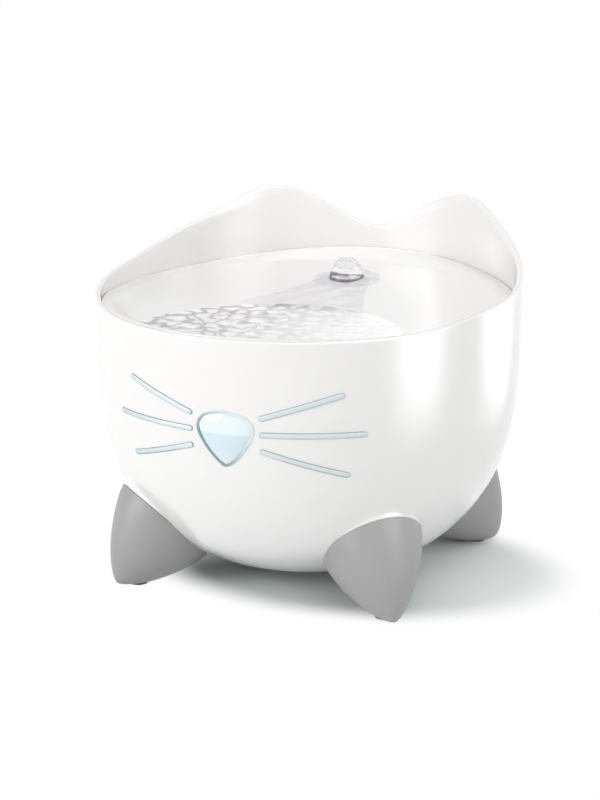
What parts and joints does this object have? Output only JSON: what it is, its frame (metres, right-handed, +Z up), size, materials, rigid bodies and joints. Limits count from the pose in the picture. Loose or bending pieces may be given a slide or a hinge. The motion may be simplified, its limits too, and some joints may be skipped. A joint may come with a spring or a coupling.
{
  "type": "pet water fountain",
  "caption": "Round raised bowl on grey conical feet with two ears at the back rim, a drop-in drinking tray with a bubbling spout, filter basket and submerged pump.",
  "frame": {"origin": "on the bowl's axis at floor level", "axes": "+Z up, the nose window and whiskers face -Y, +X is to the right of someone who looks at them"},
  "size_m": [0.25, 0.2502, 0.2108],
  "materials": {
    "shell_white": "polished moulded plastic",
    "tray_white": "smooth moulded plastic",
    "foot_grey": "satin, lightly textured",
    "pad_rubber": "soft matte",
    "clear_inlay": "clear pale blue plastic",
    "seal_grey": "translucent silicone",
    "basket_grey": "satin plastic",
    "filter_foam": "needled fibre",
    "pump_white": "satin plastic",
    "cup_rubber": "translucent rubber",
    "core_steel": "stacked sheet",
    "coil_copper": "enamelled copper wire",
    "ceramic": "polished ceramic",
    "magnet_dark": "sintered ferrite",
    "led_clear": "clear epoxy"
  },
  "bodies": {
    "root": {"bowl_shell": "shell_white", "cable_gland": "seal_grey", "nose_lens": "clear_inlay", "nose_gasket": "seal_grey", "whisker_upper_left": "clear_inlay", "whisker_upper_right": "clear_inlay", "whisker_middle_left": "clear_inlay", "whisker_middle_right": "clear_inlay", "whisker_lower_left": "clear_inlay", "whisker_lower_right": "clear_inlay", "foot_front_left": "foot_grey", "foot_front_right": "foot_grey", "foot_rear_left": "foot_grey", "foot_rear_right": "foot_grey", "foot_pad_front_left": "pad_rubber", "foot_pad_front_right": "pad_rubber", "foot_pad_rear_left": "pad_rubber", "foot_pad_rear_right": "pad_rubber", "pump_base": "pump_white", "pump_housing": "pump_white", "stator_core": "core_steel", "stator_coil": "coil_copper", "pump_shaft": "ceramic", "rear_bush": "cup_rubber", "front_bush": "cup_rubber", "pump_volute": "pump_white", "intake_cover": "pump_white", "led_module": "led_clear", "suction_cup_front_left": "cup_rubber", "suction_cup_front_right": "cup_rubber", "suction_cup_rear_left": "cup_rubber", "suction_cup_rear_right": "cup_rubber"},
    "rotor": {"rotor_magnet": "magnet_dark", "impeller": "pump_white"},
    "dial": {"flow_dial": "pump_white"},
    "tray": {"drinking_tray": "tray_white", "riser_tube": "seal_grey"},
    "filter": {"filter_basket": "basket_grey", "filter_retainer": "basket_grey", "filter_cartridge": "filter_foam"}
  },
  "joints": [
    {"name": "impeller_spin", "type": "hinge", "parent": "root", "child": "rotor", "pos_m": [0, 0.05, 0.042], "axis": [0, 1, 0], "continuous": true},
    {"name": "dial_turn", "type": "hinge", "parent": "root", "child": "dial", "pos_m": [0, 0.08, 0.042], "axis": [0, 1, 0], "range_deg": [0, 90]},
    {"name": "tray_lift", "type": "slide", "parent": "root", "child": "tray", "axis": [0, 0, 1], "range_m": [0, 0.15]},
    {"name": "filter_drop", "type": "slide", "parent": "tray", "child": "filter", "axis": [0, 0, -1], "range_m": [0, 0.0065]}
  ]
}
